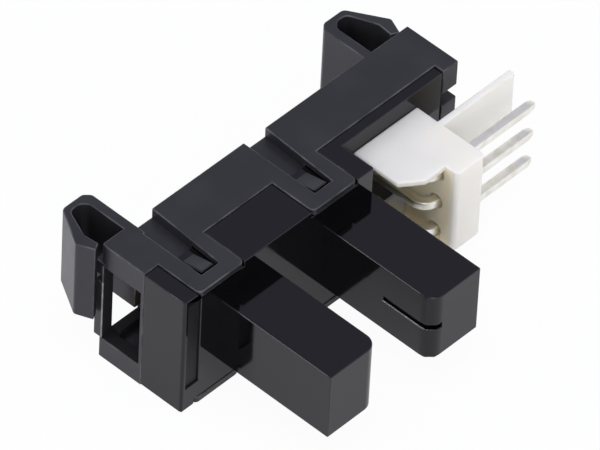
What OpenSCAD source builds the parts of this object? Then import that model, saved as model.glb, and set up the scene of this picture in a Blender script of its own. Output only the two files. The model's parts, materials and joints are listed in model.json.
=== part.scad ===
// Slotted optical switch: a snap-in holder, a sensor case with two arms and a right-angle pin header.
// X runs along the body towards the header, -Y out along the arms, +Z up.
// The origin is on the panel seat, straight behind the middle of the slot and at half the body's height.

$fn = 48;

/* [Slot and arms] */
// Clear width of the sensing slot
slot_w = 5; // [3:0.1:8]
// Width of one arm, across the slot
arm_w = 4.4; // [3.8:0.1:6]
// Height of an arm
arm_h = 5.4; // [4.6:0.1:6.2]
// Length of an arm in front of the base
arm_len = 9.5; // [8.5:0.1:14]
// Height of the arms' middle above the body's middle
arm_rise = 0.2; // [0:0.05:0.3]
// Wall of the hollow arms
arm_wall = 0.8; // [0.6:0.05:0.9]
// Rounding of the arm corners beside the slot
slot_corner_r = 1; // [0.4:0.1:1.5]
// Rounding of the arm corners away from the slot
outer_corner_r = 0.35; // [0.2:0.05:0.8]
// Small rounding along the arm edges
edge_r = 0.16; // [0.08:0.02:0.3]
// Distance of the light path from the base's front
optic_reach = 6.9; // [6:0.1:7.4]

/* [Aperture slit] */
// Height of the slit in the detector arm
slit_w = 0.4; // [0.3:0.05:1]
// Depth of the slit's groove
slit_depth = 0.3; // [0.1:0.05:0.5]
// Length of the slit along the arm, to the arm's tip
slit_len = 4.2; // [2.5:0.1:5]

/* [Body] */
// Height of the body
body_h = 10.1; // [9.6:0.1:12]
// Depth of the body, base front to panel seat
body_d = 7.3; // [7:0.1:9]
// Slot middle to the left end
left_reach = 10.25; // [9.8:0.05:13]
// Slot middle to the right end
right_reach = 17.9; // [17.5:0.1:21]

/* [Sensor case] */
// Depth of the base in front of the holder
case_d = 3.55; // [3.2:0.05:3.9]
// Drop of the case's top and bottom below the holder's
case_drop = 0.1; // [0.05:0.05:0.2]
// Wall of the hollow base
case_wall = 0.9; // [0.7:0.05:1.1]
// How far the base passes the right arm
case_margin = 0.12; // [0:0.02:0.3]
// Depth of the bay that holds the header
bay_d = 2.8; // [2.4:0.1:3]
// Depth of the spigot that enters the holder
spigot_d = 0.95; // [0.7:0.05:1.1]
// Wall of the spigot
spigot_wall = 0.7; // [0.5:0.05:1]
// Width of the bare recess on the front
recess_w = 1.15; // [0.6:0.05:1.3]
// Height of the bare recess on the front
recess_h = 7.4; // [5:0.1:8]
// Depth of the bare recess on the front
recess_depth = 0.15; // [0.1:0.05:0.3]

/* [Holder] */
// Thickness of the holder's top and bottom plates
plate_t = 1.3; // [1.1:0.05:1.5]
// Thickness of the holder's back wall
back_t = 0.8; // [0.6:0.05:0.9]
// Thickness of the left end wall
left_wall = 1; // [0.8:0.05:1.3]
// Thickness of the right end wall
right_wall = 1.4; // [1.2:0.05:1.8]
// Fitting gap between case and holder
fit = 0.05; // [0.03:0.01:0.1]
// Gap between the case's right end and the end wall
end_gap = 0.12; // [0.05:0.01:0.2]

/* [Latch tabs] */
// Slot middle to the middle of the left tab
tab_left = 6.95; // [6.6:0.05:7.3]
// Slot middle to the middle of the right tab
tab_right = 3.4; // [2.4:0.05:4.4]
// Width of a tab
tab_w = 4.1; // [3.6:0.1:4.6]
// Thickness of a tab
tab_t = 0.5; // [0.4:0.05:0.6]
// How far a tab passes the base's front
tab_over = 0.05; // [0:0.05:0.4]
// Rounding of the tab corners
tab_r = 0.4; // [0.2:0.05:0.8]
// Depth of the latch groove in the plate
groove_depth = 0.8; // [0.65:0.05:0.95]
// Tab's middle to the latch groove's straight left edge
groove_left = 0.75; // [0.65:0.05:0.9]
// Tab's middle to the latch groove's right edge, at the panel seat
groove_back = 1.2; // [0.9:0.05:1.4]
// Tab's middle to the latch groove's right edge, at its front end
groove_front = 0.8; // [0.65:0.05:0.9]
// Bar left in front of the latch groove
groove_bar = 1.05; // [0.8:0.05:1.3]
// Width of the latch nub
nub_w = 1.1; // [0.8:0.05:1.2]
// Length of the latch nub's ramp
nub_len = 1.85; // [1.4:0.05:1.95]
// Height of the latch nub
nub_h = 0.4; // [0.3:0.05:0.45]
// Play between the latch nub and the bar
nub_play = 0.2; // [0.1:0.05:0.4]

/* [Snap hooks] */
// Slot middle to the middle between the hooks
hook_mid = 3.1; // [2.8:0.1:3.3]
// Half the distance between the inner faces of the hooks
hook_half = 10.65; // [10.4:0.05:11]
// Reach of a hook behind the panel seat
hook_len = 3.95; // [3.6:0.05:5]
// Height of a hook
hook_h = 6.35; // [5.6:0.05:7]
// Thickness of a hook's straight arm
hook_arm_t = 0.75; // [0.6:0.05:0.9]
// Thickness of a hook's skin at tip and slope
hook_skin = 0.5; // [0.4:0.05:0.6]
// Outward reach of the barb
barb_reach = 3.9; // [3.6:0.05:4.2]
// Distance of the barb from the panel seat
barb_y = 1.15; // [1:0.05:1.4]
// Gap between the barb's free end and the panel seat
barb_gap = 0.2; // [0.1:0.05:0.3]

/* [Header] */
// Pitch of the pins
pin_pitch = 2.5; // [2:0.1:2.6]
// Width of a square pin
pin_w = 0.62; // [0.5:0.02:0.7]
// Length of a pin past the housing
pin_out = 6.4; // [4:0.1:9]
// Middle of the pins in front of the header bay's back
pin_stand = 4.35; // [4:0.05:4.6]
// Bend radius of a pin, at its middle
pin_bend_r = 0.95; // [0.8:0.05:1.05]
// Slot middle to the pins' back runs
pin_run_x = 10.45; // [10.2:0.05:10.7]
// Clearance of a pin in the housing
pin_fit = 0.03; // [0.02:0.01:0.08]
// Slot middle to the outer face of the housing's wall
header_x = 14.1; // [13.6:0.1:15.4]
// Gap between the pins' bends and the housing's wall
bend_gap = 0.05; // [0.02:0.01:0.3]
// How far the housing passes the middles of the outer pins
header_margin = 1.05; // [0.95:0.05:1.3]
// Depth of the housing in front of the bay's back
header_d = 6.05; // [5.8:0.05:7]
// Depth of the roof and floor in front of the bay's back
roof_d = 4.95; // [4.8:0.05:5.6]
// Thickness of the roof and floor
roof_t = 0.4; // [0.35:0.05:0.6]
// Gap between the base and the roof
roof_gap = 1.1; // [0.8:0.05:1.4]
// Corner cut of the roof and floor, along the front edge
roof_cut_x = 1.5; // [0.6:0.1:1.8]
// Corner cut of the roof and floor, along the side edge
roof_cut_y = 1.1; // [0.6:0.1:1.6]
// Thickness of the locking tongue
tongue_t = 0.5; // [0.4:0.05:0.7]
// Height of the locking tongue
tongue_h = 4.5; // [3.6:0.1:5.4]
// Length of the locking tongue
tongue_len = 6.8; // [5:0.1:8]
// Distance of the locking tongue behind the pins
tongue_stand = 2.3; // [1.9:0.05:2.5]

/* [Board and optics] */
// Thickness of the circuit board
board_t = 1; // [0.8:0.1:1]
// Gap between the board and the holder's plates
board_gap = 0.25; // [0.2:0.05:0.4]
// How far the board passes the left arm
board_left = 0.3; // [0:0.1:0.5]
// Gap between the board and the right end wall
board_right = 0.6; // [0.4:0.1:1]
// How far leads and pins pass through the board
lead_out = 0.55; // [0.4:0.05:0.6]
// Length of the emitter and detector packages
device_len = 4.4; // [3.6:0.1:4.8]
// Height of the emitter and detector packages
device_h = 3.2; // [2.8:0.1:3.3]
// Gap between a package and the arm's inside
device_gap = 0.15; // [0.1:0.01:0.18]
// Height of a package's lens
lens_h = 0.45; // [0.3:0.05:0.5]
// Radius of a package's lens
lens_r = 1.1; // [0.9:0.05:1.2]
// Pitch of the detector's leads
lead_pitch = 1.27; // [1.15:0.01:1.3]
// Width of a lead
lead_w = 0.5; // [0.4:0.02:0.52]
// Thickness of a lead
lead_t = 0.4; // [0.3:0.02:0.45]

/* [Hidden] */

cut = 1;                                        // overshoot of a cut past an open face
half_h = body_h / 2;
case_half = half_h - case_drop;
plate_in = half_h - plate_t;
front_y = -body_d;
mouth_y = front_y + case_d;
bay_y = front_y + bay_d;
tip_y = front_y - arm_len;
optic_y = front_y - optic_reach;
left_x = -left_reach;
right_x = right_reach;
inner_right_x = right_x - right_wall;
arm_in = slot_w / 2;
arm_out = arm_in + arm_w;
case_right_x = arm_out + case_margin;
case_end_x = inner_right_x - end_gap;
spigot_half = plate_in - fit;
spigot_left_x = left_x + left_wall + fit;
spigot_y = mouth_y + spigot_d;
case_room = spigot_half - spigot_wall;

tab_xs = [-tab_left, tab_right];
pocket_z = half_h - tab_t - fit;                // floor of the pockets under the tabs
groove_y = front_y + groove_bar;
nub_y = groove_y + nub_play;
nub_x = (groove_front - groove_left) / 2;

hook_low = half_h - hook_h;
hook_tip = hook_len / 2 + 0.3;                  // outer end of the hook's blunt tip
hook_nose = 0.45;                               // chamfer of the hook's inner tip corner
hook_open = [0.75, 1.7];                        // back opening, inside and outside of the hook's inner face
arc_steps = 4;                                  // straight steps of a rounded hook corner
rib_y = -1.2;                                   // the hook's arm runs on inside the holder to here

window_y = [mouth_y + 0.3, -0.2];
window_z = [-half_h + 1.7, half_h - 1.95];
corner_cut = [0.31, 0.69];                      // chamfer of the left end's back corner
corner_low = half_h - 1.65;
seat_rib_x = max(left_x, hook_mid - hook_half - barb_reach + 1.2);
seat_rib = [0.75, 0.5];                         // width and height of the rib beside the left hook
seat_rib_gap = [half_h - 3.45, half_h - 2.85];
notch_y = bay_y + 1.6;
notch_z = [half_h - 3.15, half_h - 2.1];

header_in_x = pin_run_x + pin_bend_r + bend_gap;
header_half = pin_pitch + header_margin;
header_h = 2 * header_half;
header_front = bay_y - header_d;
roof_left_x = case_right_x + roof_gap;
roof_front = bay_y - roof_d;
pin_y = bay_y - pin_stand;
pin_zs = [pin_pitch, 0, -pin_pitch];
pin_tip_x = header_x + pin_out;
pin_tip_cut = 0.17;                             // taper of a pin's tip on each side
pin_taper = 0.6;
tongue_y = pin_y + tongue_stand;
header_back = tongue_y + 0.35;                  // back face of the housing's wall
pin_recess_r = pin_w / 2 + 0.27;
pin_recess = 0.5;

board_y = spigot_y;
board_back = board_y + board_t;
lead_end = board_back + lead_out;
board_half = plate_in - board_gap;
board_left_x = -arm_out - board_left;
board_right_x = inner_right_x - board_right;
device_out = arm_out - arm_wall - device_gap;   // package face away from the slot
device_in = arm_in + arm_wall + device_gap + lens_h;
device_front = tip_y + arm_wall + device_gap;
device_back = device_front + device_len;
lead_x = (device_in + device_out) / 2;
emitter_leads = [arm_rise + lead_pitch, arm_rise - lead_pitch];
detector_leads = [arm_rise + lead_pitch, arm_rise, arm_rise - lead_pitch];
lead_hole_r = sqrt(lead_w * lead_w + lead_t * lead_t) / 2 + 0.06;
pin_hole_r = pin_w * sqrt(2) / 2 + 0.06;
resistor = [1.6, 0.45, 0.8];
solder_h = lead_out - 0.1;

// From a hook's inner face outwards to the end wall on its side: side is -1 or 1
function hook_room(side) =
    side < 0 ? hook_mid - hook_half - left_x - left_wall : inner_right_x - hook_mid - hook_half;

function unit(v) = v / norm(v);

// Half the angle between the two edges that meet at p
function half_turn(a, p, b) = acos(unit(a - p) * unit(b - p)) / 2;

// Middle of an arc of radius r at p
function arc_middle(a, p, b, r) = p + unit(unit(a - p) + unit(b - p)) * r / sin(half_turn(a, p, b));

// An arc of radius r at p, where the outline turns to the right, in short steps
function arc_points(a, p, b, r) =
    let (half = half_turn(a, p, b), m = arc_middle(a, p, b, r), s = p + unit(a - p) * r / tan(half) - m)
    r == 0 ? [p] : [
        for (i = [0:arc_steps])
            let (t = -i * (180 - 2 * half) / arc_steps)
            m + [s[0] * cos(t) - s[1] * sin(t), s[0] * sin(t) + s[1] * cos(t)]
    ];

// A polygon with one radius for each of its outward corners; 0 leaves a corner sharp
module rounded_outline(points, r) {
    n = len(points);
    polygon([for (i = [0:n - 1]) each arc_points(points[(i + n - 1) % n], points[i], points[(i + 1) % n], r[i])]);
}

// A block between two values on each axis
module block(x, y, z) {
    translate([x[0], y[0], z[0]]) cube([x[1] - x[0], y[1] - y[0], z[1] - z[0]]);
}

// A rectangle between two values on each axis, with one radius for each corner:
// low-low, high-low, high-high, low-high; 0 leaves a corner sharp
module rounded(x, y, r) {
    corners = [[x[0], y[0], 1, 1], [x[1], y[0], -1, 1], [x[1], y[1], -1, -1], [x[0], y[1], 1, -1]];
    difference() {
        translate([x[0], y[0]]) square([x[1] - x[0], y[1] - y[0]]);
        for (i = [0:3]) {
            if (r[i] > 0) {
                translate([corners[i][0], corners[i][1]])
                    scale_sign(corners[i][2], corners[i][3])
                        difference() {
                            translate([-cut, -cut]) square(r[i] + cut);
                            translate([r[i], r[i]]) circle(r[i]);
                        }
            }
        }
    }
}

// Mirrors a 2-D shape to the corner that the two signs name
module scale_sign(sx, sy) {
    mirror([sx < 0 ? 1 : 0, 0]) mirror([0, sy < 0 ? 1 : 0]) children();
}

// Extrudes an X-Z profile along Y, or a Y-Z profile along X
module along_y(y) {
    translate([0, y[1], 0]) rotate([90, 0, 0]) linear_extrude(y[1] - y[0]) children();
}

module along_x(x) {
    translate([x[0], 0, 0]) rotate([90, 0, 90]) linear_extrude(x[1] - x[0]) children();
}

// Puts a shape that is drawn for the right arm at +X on the left arm
module on_left() {
    mirror([1, 0, 0]) children();
}

// One arm, on the +X side, running back into the base by the base's wall
module arm() {
    x = [arm_in, arm_out];
    y = [tip_y, front_y + case_wall];
    z = [arm_rise - arm_h / 2, arm_rise + arm_h / 2];
    e = edge_r;
    intersection() {
        translate([0, 0, z[0]]) linear_extrude(arm_h) rounded(x, y, [slot_corner_r, outer_corner_r, 0, 0]);
        along_y(y) rounded(x, z, [e, e, e, e]);
        along_x(x) rounded(y, z, [e, 0, 0, e]);
    }
}

// The hollow of one arm, on the +X side
module arm_hollow() {
    block([arm_in + arm_wall, arm_out - arm_wall], [tip_y + arm_wall, front_y + case_wall + cut],
          [arm_rise - arm_h / 2 + arm_wall, arm_rise + arm_h / 2 - arm_wall]);
}

// The groove that marks the detector's aperture, round the arm's rounded corner
module aperture_slit() {
    translate([0, 0, arm_rise - slit_w / 2]) linear_extrude(slit_w)
        difference() {
            translate([arm_in - cut, tip_y - cut]) square([slot_corner_r + cut, slit_len + cut]);
            rounded([arm_in + slit_depth, arm_out], [tip_y + slit_depth, front_y], [slot_corner_r, 0, 0, 0]);
        }
}

// A wedge that the holder's tab snaps over, ramp to the back
module latch_nub() {
    low = pocket_z - 0.2;
    along_x([nub_x - nub_w / 2, nub_x + nub_w / 2])
        polygon([[nub_y, low], [nub_y + nub_len, low], [nub_y + nub_len, pocket_z], [nub_y, pocket_z + nub_h]]);
}

module sensor_case() {
    color([0.10, 0.10, 0.12]) {
        difference() {
            union() {
                translate([0, 0, -case_half]) linear_extrude(2 * case_half)
                    rounded([left_x, case_right_x], [front_y, mouth_y], [0.2, 0.1, 0, 0]);
                block([case_right_x - case_wall, case_end_x], [bay_y, mouth_y], [-case_half, case_half]);
                block([spigot_left_x, case_end_x], [mouth_y - case_wall / 2, spigot_y], [-spigot_half, spigot_half]);
                arm();
                on_left() arm();
            }
            block([left_x + case_wall, case_right_x - case_wall], [front_y + case_wall, mouth_y],
                  [-case_room, case_room]);
            block([spigot_left_x + spigot_wall, case_end_x - spigot_wall], [mouth_y, spigot_y + cut],
                  [-case_room, case_room]);
            arm_hollow();
            on_left() arm_hollow();
            aperture_slit();
            for (side = [0, 1], x = tab_xs)
                mirror([0, 0, side])
                    block([x - tab_w / 2 - fit, x + tab_w / 2 + fit], [front_y - cut, mouth_y + fit],
                          [pocket_z, half_h + cut]);
            for (z = pin_zs)
                block([pin_run_x - pin_w / 2 - pin_fit, pin_run_x + pin_w / 2 + pin_fit], [bay_y - cut, mouth_y + cut],
                      [z - pin_w / 2 - pin_fit, z + pin_w / 2 + pin_fit]);
            block([left_x + 0.35, left_x + 0.35 + recess_w], [front_y - cut, front_y + recess_depth],
                  [case_half - 0.6 - recess_h, case_half - 0.6]);
        }
        for (side = [0, 1], x = tab_xs)
            mirror([0, 0, side]) translate([x, 0, 0]) latch_nub();
    }
}

// One latch tab with rounded corners, on top; the groove is cut later
module latch_tab() {
    translate([0, 0, half_h - tab_t]) linear_extrude(tab_t)
        rounded([-tab_w / 2, tab_w / 2], [front_y - tab_over, mouth_y + cut], [tab_r, tab_r, 0, 0]);
}

// The groove through a tab and on to the panel seat, wider towards the seat
module latch_groove() {
    translate([0, 0, half_h - groove_depth]) linear_extrude(groove_depth + cut)
        polygon([
            [-groove_left, groove_y], [groove_front, groove_y], [groove_back, 0], [groove_back, cut / 4],
            [-groove_left, cut / 4]
        ]);
}

// A hollow hook seen from above: u runs outwards from its inner face and y away from the panel seat
module hook_outline() {
    slope = (barb_reach - hook_tip) / (hook_len - barb_y);
    shoulder = 0.45;
    difference() {
        rounded_outline([
            [0, rib_y], [0, hook_len - hook_nose], [hook_nose, hook_len], [hook_tip, hook_len],
            [barb_reach, barb_y], [barb_reach - shoulder, barb_gap], [hook_arm_t, barb_gap], [hook_arm_t, rib_y]
        ], [0, 0.4, 0.4, 0.5, 0.3, 0.1, 0, 0]);
        rounded_outline([
            [hook_arm_t, -cut], [hook_arm_t, hook_len - hook_skin - hook_nose],
            [hook_arm_t + hook_nose, hook_len - hook_skin], [hook_tip - hook_skin / 2, hook_len - hook_skin],
            [barb_reach - hook_skin - 0.5, barb_y + slope * 0.35], [barb_reach - 1.1, barb_gap], [barb_reach - 1.1, -cut]
        ], [0, 0.5, 0.5, 0.5, 0, 0, 0]);
    }
}

// Puts a left-hand or right-hand copy beside the panel cut-outs: side is -1 or 1
module at_hook(side) {
    translate([hook_mid, 0, 0]) mirror([side < 0 ? 1 : 0, 0, 0]) translate([hook_half, 0, 0]) children();
}

module holder() {
    color([0.20, 0.20, 0.22]) {
        difference() {
            union() {
                block([left_x, right_x], [mouth_y, 0], [-half_h, half_h]);
                block([inner_right_x, right_x], [bay_y, mouth_y], [-half_h, half_h]);
                for (side = [0, 1], x = tab_xs)
                    mirror([0, 0, side]) translate([x, 0, 0]) latch_tab();
            }
            block([left_x + left_wall, inner_right_x], [mouth_y - cut, -back_t], [-plate_in, plate_in]);
            for (side = [0, 1], x = tab_xs)
                mirror([0, 0, side]) translate([x, 0, 0]) latch_groove();
            block([left_x - cut, left_x + left_wall + 0.1], window_y, window_z);
            block([inner_right_x - cut, right_x + cut], [bay_y - cut, notch_y], notch_z);
            translate([0, 0, corner_low]) linear_extrude(half_h - corner_low + cut)
                polygon([
                    [left_x, -corner_cut[1]], [left_x + corner_cut[0], 0], [left_x + corner_cut[0], cut / 4],
                    [left_x - cut, cut / 4], [left_x - cut, -corner_cut[1]]
                ]);
            for (side = [-1, 1])
                at_hook(side) block([-hook_open[0], min(hook_open[1], hook_room(side))], [-back_t - cut, cut],
                                    [-half_h + 1.9, plate_in]);
        }
        for (z = [[window_z[0], seat_rib_gap[0]], [seat_rib_gap[1], corner_low]])
            block([seat_rib_x, seat_rib_x + seat_rib[0]], [window_y[1] / 2, seat_rib[1]], z);
        for (side = [-1, 1])
            at_hook(side) translate([0, 0, hook_low]) linear_extrude(hook_h) hook_outline();
    }
}

// The roof or floor of the pin header, with one corner cut off, from a height up
module header_shelf(z) {
    translate([0, 0, z]) linear_extrude(roof_t)
        polygon([
            [roof_left_x, bay_y], [roof_left_x, roof_front + roof_cut_y], [roof_left_x + roof_cut_x, roof_front],
            [header_x, roof_front], [header_x, bay_y]
        ]);
}

module connector_housing() {
    color([0.90, 0.89, 0.87])
        difference() {
            union() {
                translate([0, 0, -header_half]) linear_extrude(header_h)
                    rounded([header_in_x, header_x], [header_front, header_back], [0.35, 0.4, 0, 0]);
                header_shelf(header_half - roof_t);
                header_shelf(-header_half);
                block([header_x - cut, header_x + tongue_len], [tongue_y - tongue_t / 2, tongue_y + tongue_t / 2],
                      [header_half - tongue_h, header_half]);
            }
            for (z = pin_zs) {
                block([header_in_x - cut, header_x + cut], [pin_y - pin_w / 2 - pin_fit, pin_y + pin_w / 2 + pin_fit],
                      [z - pin_w / 2 - pin_fit, z + pin_w / 2 + pin_fit]);
                translate([header_in_x, pin_y, z]) rotate([0, 90, 0]) cylinder(r = pin_recess_r, h = pin_recess);
            }
        }
}

// A pin seen from above: a leg to +X with a blunt tip, a quarter bend and a run back to the board
module pin_plan() {
    h = pin_w / 2;
    bend_x = pin_run_x + pin_bend_r;
    bend_y = pin_y + pin_bend_r;
    polygon([
        [bend_x, pin_y - h], [pin_tip_x - pin_taper, pin_y - h], [pin_tip_x, pin_y - h + pin_tip_cut],
        [pin_tip_x, pin_y + h - pin_tip_cut], [pin_tip_x - pin_taper, pin_y + h], [bend_x, pin_y + h]
    ]);
    translate([pin_run_x - h, bend_y]) square([pin_w, lead_end - bend_y]);
    intersection() {
        translate([bend_x, bend_y])
            difference() {
                circle(pin_bend_r + h);
                circle(pin_bend_r - h);
            }
        translate([bend_x - pin_bend_r - pin_w, bend_y - pin_bend_r - pin_w]) square(pin_bend_r + pin_w);
    }
}

// One square pin at its height, its tip blunted on all four sides
module contact_pin(i) {
    h = pin_w / 2;
    left = pin_run_x - pin_w;
    color([0.80, 0.77, 0.66])
        translate([0, 0, pin_zs[i]])
            intersection() {
                translate([0, 0, -h]) linear_extrude(pin_w) pin_plan();
                along_y([pin_y - cut, lead_end + cut])
                    polygon([[left, -h], [pin_tip_x - pin_taper, -h], [pin_tip_x, -h + pin_tip_cut],
                             [pin_tip_x, h - pin_tip_cut], [pin_tip_x - pin_taper, h], [left, h]]);
            }
}

module contact_pin_1() { contact_pin(0); }
module contact_pin_2() { contact_pin(1); }
module contact_pin_3() { contact_pin(2); }

// Round holes through the board, along Y
module board_hole(x, z, r) {
    translate([x, board_y - cut, z]) rotate([-90, 0, 0]) cylinder(r = r, h = board_t + 2 * cut);
}

module circuit_board() {
    color([0.55, 0.44, 0.24])
        difference() {
            block([board_left_x, board_right_x], [board_y, board_back], [-board_half, board_half]);
            for (z = pin_zs) board_hole(pin_run_x, z, pin_hole_r);
            for (z = emitter_leads) board_hole(-lead_x, z, lead_hole_r);
            for (z = detector_leads) board_hole(lead_x, z, lead_hole_r);
        }
}

// A moulded optical package on the +X side, its lens towards the slot
module device_package() {
    block([device_in, device_out], [device_front, device_back], [arm_rise - device_h / 2, arm_rise + device_h / 2]);
    translate([device_in - lens_h + lens_r, optic_y, arm_rise]) sphere(lens_r);
}

module emitter_package() {
    color([0.62, 0.66, 0.72]) on_left() device_package();
}

module detector_package() {
    color([0.16, 0.13, 0.15]) device_package();
}

// A straight lead from a package's back through the board
module lead(x, z) {
    color([0.78, 0.78, 0.76])
        block([x - lead_t / 2, x + lead_t / 2], [device_back, lead_end], [z - lead_w / 2, z + lead_w / 2]);
}

module emitter_lead_anode() { lead(-lead_x, emitter_leads[0]); }
module emitter_lead_cathode() { lead(-lead_x, emitter_leads[1]); }
module detector_lead_supply() { lead(lead_x, detector_leads[0]); }
module detector_lead_output() { lead(lead_x, detector_leads[1]); }
module detector_lead_ground() { lead(lead_x, detector_leads[2]); }

// The chip resistor in series with the emitter, flat on the board's back
module series_resistor() {
    color([0.12, 0.12, 0.13])
        block([-resistor[0] / 2, resistor[0] / 2], [board_back, board_back + resistor[1]],
              [arm_rise - resistor[2] / 2, arm_rise + resistor[2] / 2]);
}

// A cone of solder on the board's back, with room for what passes through it
module solder_cone(x, z, r, hole) {
    difference() {
        translate([x, board_back, z]) rotate([-90, 0, 0]) cylinder(r1 = r, r2 = r * 0.72, h = solder_h);
        block([x - hole[0] / 2, x + hole[0] / 2], [board_back - cut, lead_end + cut], [z - hole[1] / 2, z + hole[1] / 2]);
    }
}

module solder_joints() {
    color([0.70, 0.71, 0.72]) {
        for (z = pin_zs) solder_cone(pin_run_x, z, 0.95, [pin_w, pin_w]);
        for (z = emitter_leads) solder_cone(-lead_x, z, 0.55, [lead_t, lead_w]);
        for (z = detector_leads) solder_cone(lead_x, z, 0.55, [lead_t, lead_w]);
    }
}

holder();
sensor_case();
connector_housing();
contact_pin_1();
contact_pin_2();
contact_pin_3();
circuit_board();
emitter_package();
emitter_lead_anode();
emitter_lead_cathode();
detector_package();
detector_lead_supply();
detector_lead_output();
detector_lead_ground();
series_resistor();
solder_joints();
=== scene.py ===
# %% [markdown]
# A slotted optical switch, dressed for a studio picture
#
# The real object is a small sensor: a glossy black case with an emitter arm and a detector arm, a matte
# black holder that snaps into a panel, and a white pin header. The solids come ready made and stay where
# they are. This lesson gives them softened edges, finishes, a floor, lights and a camera.

# %% Load the frame
import json
import math

import bmesh
import bpy
from mathutils import Matrix, Vector


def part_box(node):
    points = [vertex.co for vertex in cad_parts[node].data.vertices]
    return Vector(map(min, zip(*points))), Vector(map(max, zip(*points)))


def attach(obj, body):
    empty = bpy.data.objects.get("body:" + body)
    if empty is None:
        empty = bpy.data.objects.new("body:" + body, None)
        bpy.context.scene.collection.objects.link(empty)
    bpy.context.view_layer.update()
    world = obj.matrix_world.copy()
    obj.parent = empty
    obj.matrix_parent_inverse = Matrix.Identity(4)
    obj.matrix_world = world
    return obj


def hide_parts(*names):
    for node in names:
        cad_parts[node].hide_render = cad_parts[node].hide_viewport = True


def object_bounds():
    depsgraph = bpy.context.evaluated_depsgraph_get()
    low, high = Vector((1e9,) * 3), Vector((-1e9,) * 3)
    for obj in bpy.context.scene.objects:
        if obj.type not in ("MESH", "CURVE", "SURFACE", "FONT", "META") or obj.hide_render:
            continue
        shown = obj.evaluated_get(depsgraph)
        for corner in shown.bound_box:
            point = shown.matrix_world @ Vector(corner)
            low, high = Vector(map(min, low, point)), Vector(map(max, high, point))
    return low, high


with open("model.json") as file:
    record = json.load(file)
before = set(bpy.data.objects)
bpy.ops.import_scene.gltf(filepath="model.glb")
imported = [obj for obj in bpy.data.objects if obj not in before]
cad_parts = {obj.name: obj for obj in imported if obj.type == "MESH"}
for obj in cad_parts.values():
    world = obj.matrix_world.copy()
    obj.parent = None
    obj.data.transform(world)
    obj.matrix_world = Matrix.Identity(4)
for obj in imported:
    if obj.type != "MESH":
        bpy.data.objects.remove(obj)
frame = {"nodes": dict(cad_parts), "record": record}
cad_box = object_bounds()
MM = 0.001
print("solids loaded:", len(frame["nodes"]))

# %% [markdown]
# The camera
#
# A product picture of a part this small is taken from far away with a long lens, so parallel edges stay
# almost parallel. The viewing angle is held by four numbers: the turn about the part, the height above the
# horizon, a small roll, and the distance. The camera's three directions are worked out from them, which is
# easier to check than a set of Euler angles.

# %% Place the camera
TURN, HEIGHT, ROLL = (math.radians(angle) for angle in (-48.603, 45.405, 3.041))
AIM = Vector((0, -7.3, -0.05)) * MM
DISTANCE = 636.434 * MM
SHIFT_RIGHT, SHIFT_UP = 0.313 * MM, 3.378 * MM
SENSOR = 36.0
FOCAL_PIXELS, PICTURE_WIDTH = 10022.7, 600
NEAREST, FURTHEST = 0.01, 20

back = Vector((
    math.sin(TURN) * math.cos(HEIGHT),
    -math.cos(TURN) * math.cos(HEIGHT),
    math.sin(HEIGHT),
))
level_right = Vector((math.cos(TURN), math.sin(TURN), 0))
level_up = back.cross(level_right)
right = level_right * math.cos(ROLL) + level_up * math.sin(ROLL)
up = level_up * math.cos(ROLL) - level_right * math.sin(ROLL)

camera_data = bpy.data.cameras.new("studio_camera")
camera_data.sensor_fit = "HORIZONTAL"
camera_data.sensor_width = SENSOR
camera_data.lens = SENSOR * FOCAL_PIXELS / PICTURE_WIDTH
camera_data.clip_start, camera_data.clip_end = NEAREST, FURTHEST
camera = bpy.data.objects.new("studio_camera", camera_data)
bpy.context.scene.collection.objects.link(camera)
tripod = Matrix((right, up, back)).transposed().to_4x4()
tripod.translation = AIM + back * DISTANCE + right * SHIFT_RIGHT + up * SHIFT_UP
camera.matrix_world = tripod
bpy.context.scene.camera = camera
print("lens in mm:", round(camera_data.lens, 1))

# %% [markdown]
# Node maths as plain expressions
#
# A finish is a graph of nodes. Written node by node it hides the idea behind it, so one small class wraps an
# output socket and lets Python's operators add the Math nodes.

# %% The socket wrapper
class Wire:
    """One output socket; arithmetic on it adds Math nodes to its graph."""

    def __init__(self, graph, socket):
        self.graph = graph
        self.socket = socket

    def _math(self, operation, first, second, clamp=False):
        return self.graph.node(
            "ShaderNodeMath", {"operation": operation, "use_clamp": clamp}, {0: first, 1: second}
        )

    def __add__(self, other):
        return self._math("ADD", self, other)

    __radd__ = __add__

    def __mul__(self, other):
        return self._math("MULTIPLY", self, other)

    __rmul__ = __mul__

    def __sub__(self, other):
        return self._math("SUBTRACT", self, other)

    def __rsub__(self, other):
        return self._math("SUBTRACT", other, self)

    def __truediv__(self, other):
        return self._math("DIVIDE", self, other)

    def __pow__(self, other):
        return self._math("POWER", self, other)

    def clamped(self):
        """The same value, kept between 0 and 1."""
        return self._math("ADD", self, 0.0, clamp=True)

    def ramp(self, low, high):
        """0 at low and 1 at high, smooth between them."""
        return self.graph.node(
            "ShaderNodeMapRange",
            {"interpolation_type": "SMOOTHSTEP"},
            {"Value": self, "From Min": low, "From Max": high},
        )


print("operators that add a Math node: + - * / **")

# %% [markdown]
# The node graph
#
# A second class owns a node tree and has one method that adds any other node. The settings come first,
# because they decide which sockets a node shows. Finishes, the world and the geometry recipes grow from it.

# %% The node graph
class Graph:
    """A node tree that grows from expressions."""

    def __init__(self, tree):
        self.tree = tree
        self.tree.nodes.clear()

    def node(self, kind, settings=None, values=None, out=0):
        """Adds a node: its settings first, then its sockets' values or links. Returns one output."""
        made = self.tree.nodes.new(kind)
        for key, value in (settings or {}).items():
            setattr(made, key, value)
        for key, value in (values or {}).items():
            for part in value if isinstance(value, list) else [value]:
                if isinstance(part, Wire):
                    self.tree.links.new(part.socket, made.inputs[key])
                else:
                    made.inputs[key].default_value = part
        return Wire(self, made.outputs[out]) if made.outputs else None


print("method that adds any other node:", Graph.node.__name__)

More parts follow.
